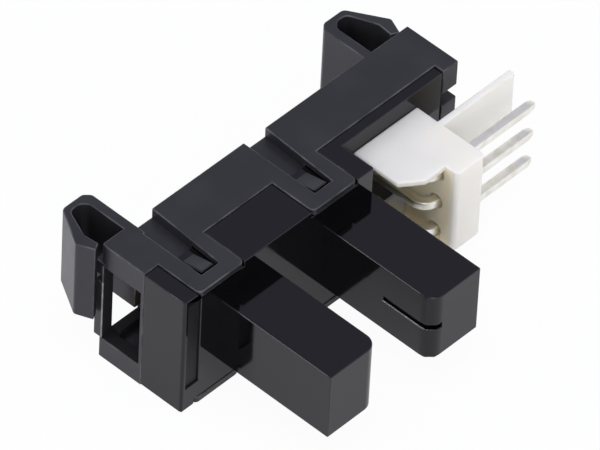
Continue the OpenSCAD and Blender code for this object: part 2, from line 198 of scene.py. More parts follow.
# %% [markdown]
# The words that finishes share
#
# Every plastic and metal here is a mix of the same few things: noise of a given size, a colour between two
# colours, a bump, a mask for the rounded edges, and a mask for a box. Each is one method, so a finish reads
# like its description. Places come from Object coordinates, which stay with the piece.

# %% The graph of a finish
class Finish(Graph):
    """The graph of a material, or of the world."""

    def __init__(self, name, owner=None):
        self.owner = owner or bpy.data.materials.new(name)
        self.owner.use_nodes = True
        super().__init__(self.owner.node_tree)

    def place(self):
        """Where a point of the piece is, in metres."""
        return self.node("ShaderNodeTexCoord", out="Object")

    def noise(self, size_mm, detail=2.0, where=None, roughness=0.5):
        """Noise whose blobs are about size_mm across."""
        values = {
            "Vector": where or self.place(),
            "Scale": 1 / (size_mm * MM),
            "Detail": detail,
            "Roughness": roughness,
        }
        return self.node("ShaderNodeTexNoise", {}, values, "Fac")

    def mix(self, amount, first, second):
        """A colour between two colours."""
        values = {"Factor": amount, 6: first, 7: second}
        return self.node("ShaderNodeMix", {"data_type": "RGBA"}, values, 2)

    def rounding(self):
        """1 on the rounded edges of a moulding, 0 on its flat faces."""
        return self.node("ShaderNodeAttribute", {"attribute_name": "rounding"}, out="Fac")

    def inside(self, low_mm, high_mm, soft_mm=0.02):
        """1 inside a box, 0 outside it."""
        held = 1.0
        for axis, low, high in zip("XYZ", low_mm, high_mm):
            value = self.node("ShaderNodeSeparateXYZ", {}, {0: self.place()}, axis)
            above = value.ramp((low - soft_mm) * MM, low * MM)
            below = 1 - value.ramp(high * MM, (high + soft_mm) * MM)
            held = above * below * held
        return held

    def bump(self, height, depth_mm, strength):
        """A normal that leans as if the height were cut into the face."""
        values = {"Height": height, "Distance": depth_mm * MM, "Strength": strength}
        return self.node("ShaderNodeBump", {}, values, "Normal")

    def surface(self, **sockets):
        """Ends the tree in a Principled shader; underscores in the names stand for spaces."""
        named = {key.replace("_", " "): value for key, value in sockets.items()}
        shader = self.node("ShaderNodeBsdfPrincipled", {}, named, "BSDF")
        self.node("ShaderNodeOutputMaterial", {}, {"Surface": shader})
        return self.owner


finishes = {}


def keep_finish(slot, finish):
    """Keeps a finish under the name of its slot in the record."""
    finishes[slot] = finish
    print(slot, "finish, nodes:", len(finish.node_tree.nodes))


print("finishes so far:", len(finishes))

# %% [markdown]
# The matte black of the holder
#
# The holder is moulded in a mould that was spark eroded, so its faces carry a fine, even grain that breaks up
# reflections. Real grain is far too fine for geometry: a bump of noise with cells a tenth of a millimetre
# across does it. A slow change of tone stands for the flow of the plastic. The rounded edges carry a mark
# that the finish reads, and there the colour is painted paler, partly as wear from handling and partly as a
# painted highlight. The thin post behind the window gets the palest edge, a painted highlight. The inside,
# which the core of the mould shaped, is dull, and its colour is painted near black as painted shade.

# %% Holder finish
HOLDER_DEEP, HOLDER_PALE = (0.0165, 0.0163, 0.0190, 1), (0.0215, 0.0213, 0.0245, 1)
# Pale edge colours: partly wear and partly a painted highlight; the post's is a painted highlight.
HOLDER_WEAR_AND_HIGHLIGHT, POST_PAINTED_HIGHLIGHT = (0.085, 0.085, 0.090, 1), (0.36, 0.36, 0.34, 1)
# The near black colour is painted shade, for the inside of the window and below the hook.
DUST, CORE_PAINTED_SHADE = (0.06, 0.06, 0.065, 1), (0.004, 0.004, 0.005, 1)
# The box of the post's painted highlight.
POST_HIGHLIGHT_BOX = (-10.3, -0.35, -3.3), (-10.1, -0.1, 1.6)
# The boxes where the painted shade falls.
SHADED_CORE = (-10.17, -3.5, -3.4), (-8.38, -0.02, 3.76)
SHADED_BELOW_HOOK = (-8.36, -3.5, -3.4), (-6.5, -0.02, -1.5)
BLACK_GLOSS_TINT = (0.92, 0.91, 1.0, 1)


def matte_black_finish():
    f = Finish("matte_black_moulding")
    grain = f.noise(size_mm=0.09, detail=3.0)
    flow = f.noise(size_mm=3.5).ramp(0.35, 0.7)
    dust = f.noise(size_mm=0.22, detail=1.0).ramp(0.70, 0.78)
    # Patches that break up both the wear and the painted highlight on the edges.
    rub_and_sheen = f.noise(size_mm=1.7, detail=3.0).ramp(0.36, 0.66)
    post_highlight = f.rounding() * f.inside(*POST_HIGHLIGHT_BOX)
    dull_shaded_core = f.inside(*SHADED_CORE) + f.inside(*SHADED_BELOW_HOOK)
    colour = f.mix(flow, HOLDER_DEEP, HOLDER_PALE)
    colour = f.mix(dust * 0.22, colour, DUST)
    # Rounded edges painted paler: partly wear, partly a painted highlight.
    colour = f.mix(f.rounding() * (0.15 + 0.85 * rub_and_sheen), colour, HOLDER_WEAR_AND_HIGHLIGHT)
    # The post's edge painted pale: a painted highlight.
    colour = f.mix(post_highlight * (0.3 + 0.7 * rub_and_sheen), colour, POST_PAINTED_HIGHLIGHT)
    # Painted shade, near black, inside the window and under the hook.
    colour = f.mix(dull_shaded_core, colour, CORE_PAINTED_SHADE)
    return f.surface(
        Base_Color=colour,
        Roughness=0.27 + 0.10 * grain + 0.05 * flow + 0.5 * dull_shaded_core,
        IOR=1.46,
        Specular_Tint=BLACK_GLOSS_TINT,
        Normal=f.bump(grain, depth_mm=0.006, strength=0.55),
    )


keep_finish("matte_black", matte_black_finish())

# %% [markdown]
# The gloss black of the sensor case
#
# The case is a resin that looks black but lets infrared light through, moulded against a polished steel
# face. It mirrors the white table, so most of its look is the light. The bump is a very shallow, slow wave,
# the orange peel of a moulded face, and the roughness carries a few faint rubbed patches. The rounded edges
# are painted a little paler, partly as wear and partly as a painted highlight. The shallow recess on its
# front and the ramps of its two clips are left dull, as the mould's inserts were, and the ramps are painted
# lighter as well, a painted reflection. The slit's lower lip is painted pale, a painted highlight.

# %% Case finish
CASE_DEEP, CASE_PALE = (0.0016, 0.0016, 0.0020, 1), (0.0026, 0.0026, 0.0031, 1)
# Pale edge colours: partly wear and partly a painted highlight; the slit lip's is a painted highlight.
CASE_WEAR_AND_HIGHLIGHT, LIP_PAINTED_HIGHLIGHT = (0.030, 0.030, 0.033, 1), (0.46, 0.46, 0.44, 1)
# The lighter colour of the clip ramps is a painted reflection.
CLIP_PAINTED_REFLECTION = (0.030, 0.030, 0.034, 1)
RECESS = (-9.9, -7.28, -3.05), (-8.75, -7.0, 4.35)
CLIP_RAMPS = (-7.3, -5.9, 4.52), (4.2, -4.3, 4.88)
# The box of the slit lip's painted highlight.
SLIT_LIP_HIGHLIGHT = (2.45, -16.3, -0.09), (2.85, -12.55, 0.02)


def gloss_black_finish():
    f = Finish("gloss_black_moulding")
    peel = f.noise(size_mm=1.6)
    rub_and_sheen = f.noise(size_mm=2.6, detail=4.0, roughness=0.6).ramp(0.45, 0.75)
    speck = f.noise(size_mm=0.16, detail=1.0).ramp(0.72, 0.80)
    lip_highlight = f.rounding() * f.inside(*SLIT_LIP_HIGHLIGHT)
    recess = f.inside(*RECESS)
    clip = f.inside(*CLIP_RAMPS)
    colour = f.mix(peel, CASE_DEEP, CASE_PALE)
    colour = f.mix(speck * 0.12, colour, DUST)
    # Rounded edges painted paler: partly wear, partly a painted highlight.
    colour = f.mix(f.rounding() * (0.4 + 0.6 * rub_and_sheen), colour, CASE_WEAR_AND_HIGHLIGHT)
    # The slit's lower lip painted pale: a painted highlight.
    colour = f.mix(lip_highlight * (0.3 + 0.7 * rub_and_sheen), colour, LIP_PAINTED_HIGHLIGHT)
    # Clip ramps painted lighter: a painted reflection.
    colour = f.mix(clip, colour, CLIP_PAINTED_REFLECTION)
    return f.surface(
        Base_Color=colour,
        Roughness=0.07 + 0.07 * rub_and_sheen + 0.08 * speck + 0.5 * recess + 0.25 * clip,
        IOR=1.43,
        Specular_Tint=BLACK_GLOSS_TINT,
        Normal=f.bump(peel, depth_mm=0.012, strength=0.3),
    )


keep_finish("gloss_black", gloss_black_finish())

# %% [markdown]
# The white nylon of the header
#
# Nylon lets a little light in, so the shader gets some subsurface scattering about a millimetre deep. Inside
# the header, where light has crossed the plastic several times, the colour is painted cream: a painted glow
# of that light. A box tells the finish where that is. The mottling is faint: a slow noise in the colour and a
# fine one in the bump.

# %% Header finish
NYLON_WARM, NYLON_PALE = (0.870, 0.840, 0.755, 1), (0.90, 0.872, 0.80, 1)
# Cream painted inside the header: a painted glow of light that has crossed the nylon.
NYLON_PAINTED_GLOW = (0.94, 0.84, 0.63, 1)
HEADER_ROOM = (8.0, -9.8, -3.3), (11.6, -4.4, 3.16)
HEADER_ROOM_SOFT = 0.35


def white_nylon_finish():
    f = Finish("white_nylon")
    flow = f.noise(size_mm=2.2, detail=3.0)
    grain = f.noise(size_mm=0.12)
    # Where the painted glow lies: inside the header.
    painted_glow = f.inside(*HEADER_ROOM, HEADER_ROOM_SOFT)
    return f.surface(
        Base_Color=f.mix(painted_glow, f.mix(flow, NYLON_WARM, NYLON_PALE), NYLON_PAINTED_GLOW),
        Roughness=0.36 + 0.12 * grain,
        Subsurface_Weight=0.7,
        Subsurface_Radius=(1.0, 0.9, 0.74),
        Subsurface_Scale=1.0 * MM,
        Normal=f.bump(grain, depth_mm=0.004, strength=0.4),
    )


keep_finish("white_nylon", white_nylon_finish())

# %% [markdown]
# Tin on brass, solder and lead frames
#
# The metals differ by tone and by how evenly they mirror. Drawn wire has fine streaks along its length,
# which a noise squeezed in one direction gives. Solder has soft dull patches where it froze last.

# %% Metal finishes
SQUEEZE_ACROSS, SQUEEZE_ALONG = 60.0, 1.5
TIN_DARK, TIN_LIGHT = (0.82, 0.80, 0.68, 1), (0.95, 0.94, 0.88, 1)
LEAD_DARK, LEAD_LIGHT = (0.55, 0.55, 0.53, 1), (0.74, 0.74, 0.72, 1)
SOLDER_BRIGHT, SOLDER_DULL = (0.72, 0.73, 0.74, 1), (0.50, 0.51, 0.52, 1)


def drawn_metal_finish(name, dark, light, along, rough):
    f = Finish(name)
    squeeze = tuple(SQUEEZE_ALONG if axis == along else SQUEEZE_ACROSS for axis in "XYZ")
    where = f.node("ShaderNodeMapping", {}, {"Vector": f.place(), "Scale": squeeze})
    streak = f.noise(size_mm=6.0, detail=3.0, where=where)
    tarnish = f.noise(size_mm=0.9, detail=3.0).ramp(0.35, 0.75)
    return f.surface(
        Base_Color=f.mix(tarnish, light, dark),
        Metallic=1.0,
        Roughness=rough + 0.14 * streak + 0.08 * tarnish,
        Normal=f.bump(streak, depth_mm=0.004, strength=0.35),
    )


def solder_finish():
    f = Finish("bright_solder")
    frost = f.noise(size_mm=0.28, detail=4.0).ramp(0.4, 0.7)
    return f.surface(
        Base_Color=f.mix(frost, SOLDER_BRIGHT, SOLDER_DULL),
        Metallic=1.0,
        Roughness=0.16 + 0.30 * frost,
        Normal=f.bump(frost, depth_mm=0.008, strength=0.4),
    )


keep_finish("tinned_brass", drawn_metal_finish("tinned_brass", TIN_DARK, TIN_LIGHT, "X", rough=0.30))
keep_finish("lead_metal", drawn_metal_finish("tinned_lead", LEAD_DARK, LEAD_LIGHT, "Y", rough=0.26))
keep_finish("solder", solder_finish())

# %% [markdown]
# The pieces inside
#
# The circuit board and the optical packages sit in the dark behind the holder, but a finish is given to each
# all the same, because the part is also looked at opened up. The board is paper laminate, with faint fibres.
# The emitter is a clear resin and the detector a dark one. The resistor has a glazed black face with tinned
# ends.

# %% Inner finishes
LAMINATE_DARK, LAMINATE_PALE = (0.22, 0.13, 0.045, 1), (0.40, 0.28, 0.12, 1)
FIBRE_SQUEEZE = (1.0, 1.0, 5.0)
CLEAR_THIN, CLEAR_THICK = (0.42, 0.47, 0.55, 1), (0.58, 0.62, 0.68, 1)
DARK_THIN, DARK_THICK = (0.020, 0.012, 0.018, 1), (0.034, 0.022, 0.028, 1)
CHIP_GLAZE, CHIP_TIN = (0.012, 0.012, 0.014, 1), (0.62, 0.62, 0.60, 1)
CHIP_END_STARTS, CHIP_END_FULL = 0.62, 0.68


def laminate_finish():
    f = Finish("paper_laminate")
    fibre = f.node("ShaderNodeMapping", {}, {"Vector": f.place(), "Scale": FIBRE_SQUEEZE})
    mottle = f.noise(size_mm=0.9, detail=4.0, where=fibre)
    return f.surface(
        Base_Color=f.mix(mottle, LAMINATE_DARK, LAMINATE_PALE),
        Roughness=0.42 + 0.2 * mottle,
        Normal=f.bump(mottle, depth_mm=0.01, strength=0.3),
    )


def resin_finish(name, thin, thick, rough):
    f = Finish(name)
    cloud = f.noise(size_mm=1.4)
    return f.surface(
        Base_Color=f.mix(cloud, thin, thick),
        Roughness=rough + 0.06 * cloud,
        Normal=f.bump(cloud, depth_mm=0.004, strength=0.2),
    )


def chip_finish():
    f = Finish("glazed_chip")
    low, high = (corner.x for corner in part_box("series_resistor"))
    half = (high - low) / 2
    x = f.node("ShaderNodeSeparateXYZ", {}, {0: f.place()}, "X")
    from_middle = f.node("ShaderNodeMath", {"operation": "ABSOLUTE"}, {0: x - (low + high) / 2})
    tinned = from_middle.ramp(half * CHIP_END_STARTS, half * CHIP_END_FULL)
    glaze = f.noise(size_mm=0.15)
    return f.surface(
        Base_Color=f.mix(tinned, CHIP_GLAZE, CHIP_TIN),
        Metallic=tinned,
        Roughness=0.22 + 0.15 * glaze,
        Normal=f.bump(glaze, depth_mm=0.004, strength=0.3),
    )


keep_finish("board", laminate_finish())
keep_finish("clear_resin", resin_finish("clear_resin", CLEAR_THIN, CLEAR_THICK, rough=0.08))
keep_finish("dark_resin", resin_finish("dark_resin", DARK_THIN, DARK_THICK, rough=0.10))
keep_finish("chip", chip_finish())

# %% [markdown]
# A finish for every solid
#
# The record says which finish each solid takes. A solid keeps its mesh and its place, and only its material
# is exchanged.

# %% Give each solid its finish
slot_of = {part["node"]: part["material_slot"] for part in frame["record"]["subparts"]}
for name, solid in frame["nodes"].items():
    solid.data.materials.clear()
    solid.data.materials.append(finishes[slot_of[name]])
print("finished solids:", sorted(slot_of))

# %% [markdown]
# Moulded edges
#
# No moulded edge is perfectly sharp. The thin bright line along each edge in a picture is its rounding, and
# without it black plastic looks like paper. A merged copy of each moulding gets a Bevel modifier and stands
# for the solid. A mould rounds the outward corners, while the inward ones and the rims of the pin holes stay
# crisp. So each corner that is to be round gets a weight, and the modifier follows the weights.

# %% Find the corners to round
CORNER_ANGLE = math.radians(32)
PIN_CLEARANCE = 0.75 * MM
pin_names = ("contact_pin_1", "contact_pin_2", "contact_pin_3")
pin_boxes = [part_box(name) for name in pin_names]
pin_low, pin_high = pin_boxes[0]
pin_thick = pin_high.z - pin_low.z
pin_run_x, pin_leg_y = pin_low.x + pin_thick / 2, pin_low.y + pin_thick / 2
pin_heights = [(low.z + high.z) / 2 for low, high in pin_boxes]


def beside_a_pin(spot):
    """Is a spot on the rim of a hole that a pin's leg or back run passes through?"""
    from_wire = min(abs(spot.y - pin_leg_y), abs(spot.x - pin_run_x))
    return from_wire < PIN_CLEARANCE and any(abs(spot.z - z) < PIN_CLEARANCE for z in pin_heights)


def is_wedge(face):
    """Does a face run out to a point, so that no rounding fits along its sides?"""
    return len(face.verts) == 3


def weigh_corners(work):
    """Gives a weight to each corner that the mould rounds, and counts them."""
    weight = work.edges.layers.float.new("bevel_weight_edge")
    rounded = 0
    for edge in work.edges:
        spot = (edge.verts[0].co + edge.verts[1].co) / 2
        outward = edge.calc_face_angle_signed(0.0) > CORNER_ANGLE
        if outward and not beside_a_pin(spot) and not any(map(is_wedge, edge.link_faces)):
            edge[weight] = 1.0
            rounded += 1
    return rounded


print("pin thickness in mm:", round(pin_thick / MM, 3))

# %% [markdown]
# The outline of the arms
#
# The solid's arms have a rounding of their own along their top and bottom, in a few wide steps. Rounding it
# once more would smear the light, so its points are first moved out to the arm's square outline. The arms
# are then cut across near the ends of their edges, because a rounding's light drifts along a face that is
# many times longer than it is wide.

# %% Square and cut the arms
NEAR = 0.003 * MM
ARM_IN, ARM_OUT, ARM_ROOT, ARM_TIP = 2.5 * MM, 6.9 * MM, -7.3 * MM, -16.8 * MM
ARM_LOW, ARM_TOP, ARM_ROUND = -2.5 * MM, 2.9 * MM, 0.16 * MM
SLOT_CORNER, TIP_CORNER = 1.0 * MM, 0.35 * MM
EDGE_CUTS = [y * MM for y in (-16.5, -15.5, -12.9, -7.6)]


def squared_outline(x, y):
    """Moves a point of an arm's rounded edge straight out to the arm's outline, seen from above."""
    if y < ARM_TIP + SLOT_CORNER and x < ARM_IN + SLOT_CORNER:
        centre = Vector((ARM_IN + SLOT_CORNER, ARM_TIP + SLOT_CORNER))
        return centre + (Vector((x, y)) - centre).normalized() * SLOT_CORNER
    if y < ARM_TIP + TIP_CORNER and x > ARM_OUT - TIP_CORNER:
        return Vector((ARM_OUT, ARM_TIP))
    if y < ARM_TIP + ARM_ROUND + NEAR:
        return Vector((x, ARM_TIP))
    return Vector((ARM_IN if x < (ARM_IN + ARM_OUT) / 2 else ARM_OUT, y))


def square_arms(work):
    """Takes the solid's own rounding off the arms, so that the modifier rounds every edge alike."""
    for vertex in work.verts:
        x, y, z = vertex.co
        if y > ARM_ROOT + NEAR or not ARM_IN - NEAR < abs(x) < ARM_OUT + NEAR:
            continue
        if ARM_TOP - ARM_ROUND - NEAR < z < ARM_TOP + NEAR:
            vertex.co.z = ARM_TOP
        elif ARM_LOW - NEAR < z < ARM_LOW + ARM_ROUND + NEAR:
            vertex.co.z = ARM_LOW
        else:
            continue
        outline = squared_outline(abs(x), y)
        vertex.co.xy = (math.copysign(outline.x, x), outline.y)
    bmesh.ops.remove_doubles(work, verts=work.verts, dist=NEAR)
    bmesh.ops.dissolve_degenerate(work, dist=NEAR, edges=work.edges)


def cut_arms(work):
    """Cuts across the arms near the ends of their edges, so that a rounding's light runs evenly between."""
    for y in EDGE_CUTS:
        every = work.verts[:] + work.edges[:] + work.faces[:]
        bmesh.ops.bisect_plane(work, geom=every, dist=NEAR, plane_co=(0, y, 0), plane_no=(0, 1, 0))


print("arm length in mm:", round((ARM_ROOT - ARM_TIP) / MM, 2))

# %% [markdown]
# The left end of the holder
#
# The real holder's left back corner is cut off only a little, and the barb of each hook ends in a short lip
# that laps past the panel seat. The solid is plainer there. Both are corners of flat outlines, so moving a
# few points of the merged copy is enough. A barb's rounded end becomes one corner, for the modifier to round.

# %% Trim the holder
LEFT_CORNER = {(-10.25, -0.69): (-10.25, -0.42), (-9.94, 0.0): (-10.17, 0.0)}
LEFT_CORNER_LOW, SAME_SPOT = 3.3, 0.01
BARB_LIPS = {-10.98: -10.92, 17.18: 17.12}
BARB_END_HALF, BARB_END_LOW, BARB_END_HIGH, BARB_LIP_Y = 0.08, 0.19, 0.27, -0.1


def trim_holder(work):
    """Gives the left end its small back corner, and the barbs their short lips past the panel seat."""
    for vertex in work.verts:
        x, y, z = vertex.co / MM
        for (old_x, old_y), (new_x, new_y) in LEFT_CORNER.items():
            if z > LEFT_CORNER_LOW and math.hypot(x - old_x, y - old_y) < SAME_SPOT:
                vertex.co.xy = (new_x * MM, new_y * MM)
        for barb_x, lip_x in BARB_LIPS.items():
            if abs(x - barb_x) < BARB_END_HALF and BARB_END_LOW < y < BARB_END_HIGH:
                vertex.co.xy = (lip_x * MM, BARB_LIP_Y * MM)
    bmesh.ops.remove_doubles(work, verts=work.verts, dist=NEAR)
    work.normal_update()


print("points of the holder's outline that move:", len(LEFT_CORNER) + len(BARB_LIPS))

# %% [markdown]
# What the modifier made
#
# A modifier's result becomes part of a piece only when it is turned into a plain mesh. The Bevel modifier
# gives its own faces the second material, which tells the roundings from the flat faces. That mark is kept
# as an attribute for the finishes to read, and the piece goes back to one material.

# %% Keep the roundings
FLAT, ROUNDING = 0, 1


def settled(piece):
    """Turns what a piece's modifiers make into its plain mesh."""
    bpy.context.view_layer.update()
    shaped = piece.evaluated_get(bpy.context.evaluated_depsgraph_get())
    piece_mesh = bpy.data.meshes.new_from_object(shaped)
    piece.modifiers.clear()
    piece.data = piece_mesh
    return piece_mesh


def mark_roundings(mesh, finish):
    """Keeps which faces the modifier made, as an attribute, and leaves one material."""
    made = [face.material_index for face in mesh.polygons]
    mark = mesh.attributes.new("rounding", "FLOAT", "FACE")
    mark.data.foreach_set("value", [float(kind) for kind in made])
    mesh.polygons.foreach_set("material_index", [FLAT] * len(made))
    mesh.materials.clear()
    mesh.materials.append(finish)
    return made


print("marks of flat and rounded faces:", FLAT, ROUNDING)

# %% [markdown]
# Light on the roundings
#
# Flat faces are to shade flat, and only the roundings are to bend the light from one face to the next.
# Blender's smooth shading would tilt the big faces too, so the normals are set one by one. Where a rounding
# meets a flat face it takes that face's normal, and in its middle it takes the average of its strips.

# %% Set the normals
ROUNDED_ANGLE = math.radians(50)


def calm_normals(mesh, made):
    """Lets flat faces shade flat, and bends the light only across the roundings between them."""
    around = [[] for _ in mesh.vertices]
    for face in mesh.polygons:
        for corner in face.vertices:
            around[corner].append(face)

    def alike(corner, kind, normal, limit):
        faces = around[corner]
        return [face for face in faces if made[face.index] == kind and face.normal.angle(normal, 0) < limit]

    bent = []
    for face in mesh.polygons:
        for corner in face.vertices:
            aim = face.normal
            flats = alike(corner, FLAT, aim, ROUNDED_ANGLE)
            if flats:
                aim = min(flats, key=lambda flat: flat.normal.angle(aim, 0)).normal
                flats = alike(corner, FLAT, aim, CORNER_ANGLE)
                bent.append(sum((flat.normal * flat.area for flat in flats), Vector()).normalized())
            else:
                strips = alike(corner, ROUNDING, aim, ROUNDED_ANGLE)
                bent.append(sum((strip.normal for strip in strips), Vector()).normalized())
    mesh.normals_split_custom_set(bent)


print("a rounding follows flat faces within degrees:", round(math.degrees(ROUNDED_ANGLE)))

# %% [markdown]
# The three mouldings
#
# The holder, the case and the header go through the same steps. A solid's mesh is made of triangles, so its
# flat faces are merged first. Then its corners are weighed, the modifier rounds them, and the result stands
# for the solid.

# %% Round the mouldings
SOFT_EDGE = {"holder": 0.08, "sensor_case": 0.07, "connector_housing": 0.12}
EDGE_STEPS = 2
FLAT_ANGLE = math.radians(0.4)
WELD = 0.0005 * MM


def merged_copy(node):
    """A solid's mesh with its flat faces merged and its corners weighed, and the count of round ones."""
    work = bmesh.new()
    work.from_mesh(frame["nodes"][node].data)
    bmesh.ops.remove_doubles(work, verts=work.verts, dist=WELD)
    if node == "sensor_case":
        square_arms(work)
    bmesh.ops.dissolve_limit(
        work, angle_limit=FLAT_ANGLE, use_dissolve_boundaries=False, verts=work.verts, edges=work.edges
    )
    if node == "sensor_case":
        cut_arms(work)
    if node == "holder":
        trim_holder(work)
    rounded = weigh_corners(work)
    mesh = bpy.data.meshes.new(f"{node}_moulding")
    work.to_mesh(mesh)
    work.free()
    mesh.shade_smooth()
    return mesh, rounded


def softened(node, radius_mm):
    """Makes the piece that stands for a moulding, with rounded corners."""
    mesh, rounded = merged_copy(node)
    finish = finishes[slot_of[node]]
    mesh.materials.append(finish)
    mesh.materials.append(finish)
    piece = bpy.data.objects.new(f"{node}_moulding", mesh)
    bpy.context.scene.collection.objects.link(piece)
    bevel = piece.modifiers.new("soft_edge", "BEVEL")
    bevel.limit_method = "WEIGHT"
    bevel.width = radius_mm * MM
    bevel.segments = EDGE_STEPS
    bevel.use_clamp_overlap = False
    bevel.material = ROUNDING
    finished = settled(piece)
    calm_normals(finished, mark_roundings(finished, finish))
    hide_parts(node)
    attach(piece, "root")
    print(node, "rounded edges:", rounded, "faces:", len(finished.polygons))


for node, radius in SOFT_EDGE.items():
    softened(node, radius)

# %% [markdown]
# Geometry recipes
#
# The three pins are one bent wire, repeated, and the eight solder joints are one shape in two sizes. Such
# rules suit Geometry Nodes: a recipe has named inputs for its sizes, and its result becomes a plain mesh.

# %% The recipe builder
SHARP_ANGLE = math.radians(38)


class Recipe(Graph):
    """A Geometry Nodes tree whose sizes are named inputs."""

    def __init__(self, name):
        self.name = name
        super().__init__(bpy.data.node_groups.new(name, "GeometryNodeTree"))
        self.tree.interface.new_socket("Geometry", in_out="OUTPUT", socket_type="NodeSocketGeometry")
        self.inlet = self.tree.nodes.new("NodeGroupInput")
        self.sizes = {}

    def size(self, name, value):
        """A named input with its value."""
        socket = self.tree.interface.new_socket(name, in_out="INPUT", socket_type="NodeSocketFloat")
        self.sizes[socket.identifier] = value
        return Wire(self, self.inlet.outputs[name])

    def point(self, x, y, z):
        """A place, from three values."""
        return self.node("ShaderNodeCombineXYZ", {}, {0: x, 1: y, 2: z})

    def path(self, points):
        """A curve of straight lines through the points."""
        line = self.node("GeometryNodeMeshLine", {}, {"Count": len(points)})
        choice = self.tree.nodes.new("GeometryNodeIndexSwitch")
        choice.data_type = "VECTOR"
        for _ in range(len(points) - 2):
            choice.index_switch_items.new()
        self.tree.links.new(self.node("GeometryNodeInputIndex").socket, choice.inputs[0])
        for number, corner in enumerate(points):
            self.tree.links.new(corner.socket, choice.inputs[number + 1])
        places = {"Geometry": line, "Position": Wire(self, choice.outputs[0])}
        laid = self.node("GeometryNodeSetPosition", {}, places)
        return self.node("GeometryNodeMeshToCurve", {}, {"Mesh": laid})

    def row(self, shape, count, start, step, scale=(1, 1, 1)):
        """Copies of a shape along a straight line."""
        line = {"Count": count, "Start Location": start, "Offset": step}
        spots = self.node("GeometryNodeMeshLine", {}, line)
        copies = {"Points": spots, "Instance": shape, "Scale": scale}
        return self.node("GeometryNodeInstanceOnPoints", {}, copies)

    def made(self, shape, slot, *nodes):
        """Runs the recipe and leaves a plain mesh that stands for the nodes."""
        realised = self.node("GeometryNodeRealizeInstances", {}, {0: shape})
        coat = {"Geometry": realised, "Material": finishes[slot]}
        self.node("NodeGroupOutput", {}, {0: self.node("GeometryNodeSetMaterial", {}, coat)})
        piece = bpy.data.objects.new(self.name, bpy.data.meshes.new(self.name))
        bpy.context.scene.collection.objects.link(piece)
        modifier = piece.modifiers.new("recipe", "NODES")
        modifier.node_group = self.tree
        for identifier, value in self.sizes.items():
            modifier[identifier] = value
        mesh = settled(piece)
        mesh.shade_smooth()
        mesh.set_sharp_from_angle(angle=SHARP_ANGLE)
        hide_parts(*nodes)
        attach(piece, "root")
        print(self.name, "faces:", len(mesh.polygons))


print("a recipe's edges stay sharp above degrees:", round(math.degrees(SHARP_ANGLE)))

# %% [markdown]
# The contact pins
#
# A pin is square tinned wire, bent once by a quarter turn, with its tip pressed to a blunt point. The recipe
# lays the bent path, sweeps a square with rounded corners along it, and shrinks the square near the tip. The
# path's sizes come from the box of the solid that the wire stands for.

# %% Bend the pins
PIN_BEND, BEND_STEPS, WIRE_STEP = 0.95 * MM, 10, 0.1 * MM
PIN_TAPER, PIN_TIP_SHARE, TAPER_POWER = 0.55 * MM, 0.5, 0.6
WIRE_CORNER_SHARE, WIRE_CORNER_STEPS = 0.13, 3

wire = Recipe("contact_pins")
thick = wire.size("Wire thickness", pin_thick)
run_x = wire.size("Back run X", pin_run_x)
leg_y = wire.size("Leg Y", pin_leg_y)
run_end = wire.size("Back run end Y", pin_high.y)
tip_x = wire.size("Tip X", pin_high.x)
bend = wire.size("Bend radius", PIN_BEND)
taper = wire.size("Taper length", PIN_TAPER)
tip_share = wire.size("Tip share", PIN_TIP_SHARE)
top_z = wire.size("Upper pin Z", pin_heights[0])
pitch = wire.size("Pitch", pin_heights[0] - pin_heights[1])

corners = [(run_x, run_end), (run_x, leg_y), (tip_x, leg_y)]
bent = wire.path([wire.point(x, y, 0.0) for x, y in corners])
quarter = {"Curve": bent, "Count": BEND_STEPS, "Radius": bend}
bent = wire.node("GeometryNodeFilletCurve", {"mode": "POLY"}, quarter)
bent = wire.node("GeometryNodeResampleCurve", {"mode": "LENGTH"}, {"Curve": bent, "Length": WIRE_STEP})
bent = wire.node("GeometryNodeSetCurveNormal", {"mode": "Z_UP"}, {"Curve": bent})
to_tip = wire.node("GeometryNodeSplineLength") - wire.node("GeometryNodeSplineParameter", out="Length")
swell = tip_share + (1 - tip_share) * (to_tip / taper).clamped() ** TAPER_POWER
square = wire.node("GeometryNodeCurvePrimitiveQuadrilateral", {}, {"Width": thick, "Height": thick})
blunt = {"Curve": square, "Count": WIRE_CORNER_STEPS, "Radius": thick * WIRE_CORNER_SHARE}
square = wire.node("GeometryNodeFilletCurve", {"mode": "POLY"}, blunt)
swept = {"Curve": bent, "Profile Curve": square, "Scale": swell, "Fill Caps": True}
pin = wire.node("GeometryNodeCurveToMesh", {}, swept)
pins = wire.row(pin, len(pin_names), wire.point(0.0, 0.0, top_z), wire.point(0.0, 0.0, 0 - pitch))
wire.made(pins, "tinned_brass", *pin_names)

# %% [markdown]
# The solder joints
#
# Molten solder climbs a wire and spreads on its pad, so a joint is a cone with hollow sides. The recipe
# sweeps a circle along a short line and lets its radius fall off quickly. One shape serves the pins and the
# thinner leads, in two sizes, and each row starts at the box of the wire that it holds.

# %% Solder the wires
PIN_JOINT, LEAD_JOINT = 0.94 * MM, 0.54 * MM
JOINT_TOP_SHARE, JOINT_POWER = 0.5, 2.4
JOINT_RINGS, JOINT_SIDES = 9, 24
board_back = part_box("circuit_board")[1].y
joint_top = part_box("solder_joints")[1].y
emitter_wires = ("emitter_lead_anode", "emitter_lead_cathode")
detector_wires = ("detector_lead_supply", "detector_lead_output", "detector_lead_ground")


def wire_row(*names):
    """The count of a row of solder joints, where it starts, and the step from one to the next."""
    middles = [(low + high) / 2 for low, high in (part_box(name) for name in names)]
    step = middles[1] - middles[0]
    return len(names), Vector((middles[0].x, board_back, middles[0].z)), Vector((0, 0, step.z))


